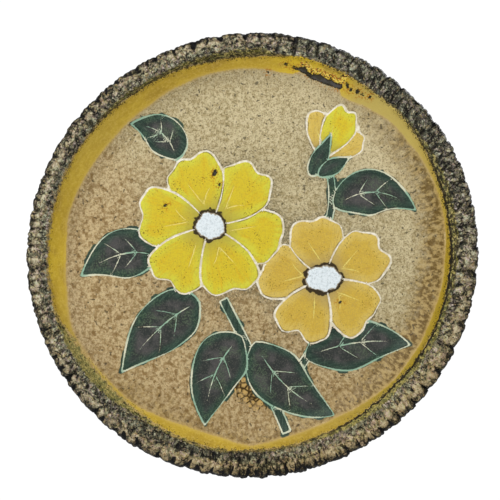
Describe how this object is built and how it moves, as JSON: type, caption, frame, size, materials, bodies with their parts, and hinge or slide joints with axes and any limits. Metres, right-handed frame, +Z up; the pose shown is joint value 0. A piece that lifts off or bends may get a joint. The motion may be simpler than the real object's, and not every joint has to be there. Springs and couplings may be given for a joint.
{
  "type": "decorative wall plate",
  "caption": "Round hand-built stoneware wall plate with a pinched, textured raised rim, a shallow glazed well painted with yellow flowers and a pierced foot ring for hanging.",
  "frame": {"origin": "the middle of the foot ring's flat back face at its top, between the two wire holes, where the plate bears on the wall", "axes": "+Z up, +Y into the wall, so the decorated face looks along -Y, +X to the right as seen from the front"},
  "size_m": [0.3388, 0.034, 0.3343],
  "materials": {
    "glazed_stoneware": "satin"
  },
  "bodies": {
    "root": {"wall_plate": "glazed_stoneware"}
  },
  "joints": []
}
